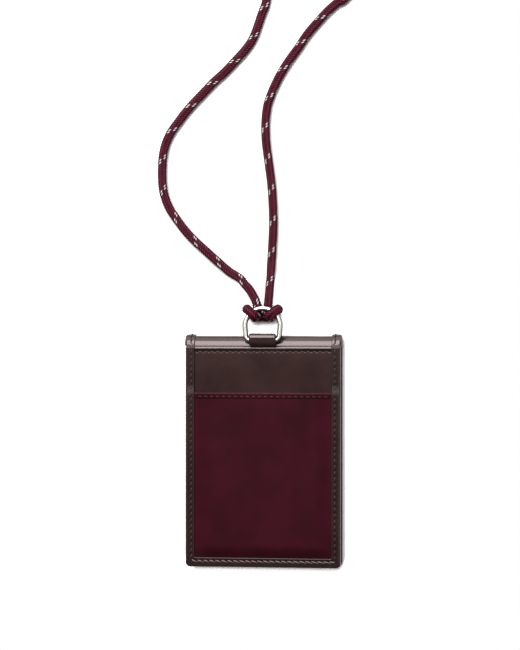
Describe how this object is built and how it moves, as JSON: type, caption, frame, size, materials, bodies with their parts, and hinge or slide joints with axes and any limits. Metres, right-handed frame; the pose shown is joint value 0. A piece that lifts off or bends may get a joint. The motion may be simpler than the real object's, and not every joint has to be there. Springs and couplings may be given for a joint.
{
  "type": "lanyard badge holder",
  "caption": "Fold-over leather badge holder with card pockets on its front, a clear badge window on its back, and a neck cord hitched to a swinging D-ring.",
  "frame": {"origin": "bottom centre of the box round the case and its ring, on the surface that the closed case lies on", "axes": "+X across the case, +Y up the case towards the ring and cord, +Z out of the pocket side"},
  "size_m": [0.1093, 0.3491, 0.0167],
  "materials": {
    "brown_leather": "smooth dark brown leather, semi-gloss",
    "burgundy_leather": "smooth burgundy leather, satin",
    "lining": "plain woven lining",
    "clear_window": "clear flexible sheet",
    "nickel": "polished nickel plate",
    "cord": "braided burgundy cord with a pale tracer yarn"
  },
  "bodies": {
    "spine": {"spine_roll": "brown_leather", "spine_lining": "lining", "spine_binding_left": "brown_leather", "spine_binding_right": "brown_leather", "ring_tab": "brown_leather", "cord_left": "cord", "cord_right": "cord", "cord_coil": "cord", "cord_join_sleeve": "brown_leather", "coil_tie": "brown_leather"},
    "front": {"front_cover": "brown_leather", "front_lining": "lining", "upper_pocket": "brown_leather", "lower_pocket": "burgundy_leather", "front_binding": "brown_leather"},
    "back": {"back_cover": "brown_leather", "id_window": "clear_window", "back_lining": "lining", "back_binding": "brown_leather"},
    "ring": {"d_ring": "nickel", "lanyard_hitch": "cord"}
  },
  "joints": [
    {"name": "front_fold", "type": "hinge", "parent": "spine", "child": "front", "pos_m": [0, 0.04383, 0.0098], "axis": [-1, 0, 0], "range_deg": [0, 90]},
    {"name": "back_fold", "type": "hinge", "parent": "spine", "child": "back", "pos_m": [0, 0.04383, 0], "axis": [1, 0, 0], "range_deg": [0, 90]},
    {"name": "ring_swing", "type": "hinge", "parent": "spine", "child": "ring", "pos_m": [0, 0.04699, 0.0116], "axis": [-1, 0, 0], "range_deg": [-75, 35]}
  ]
}
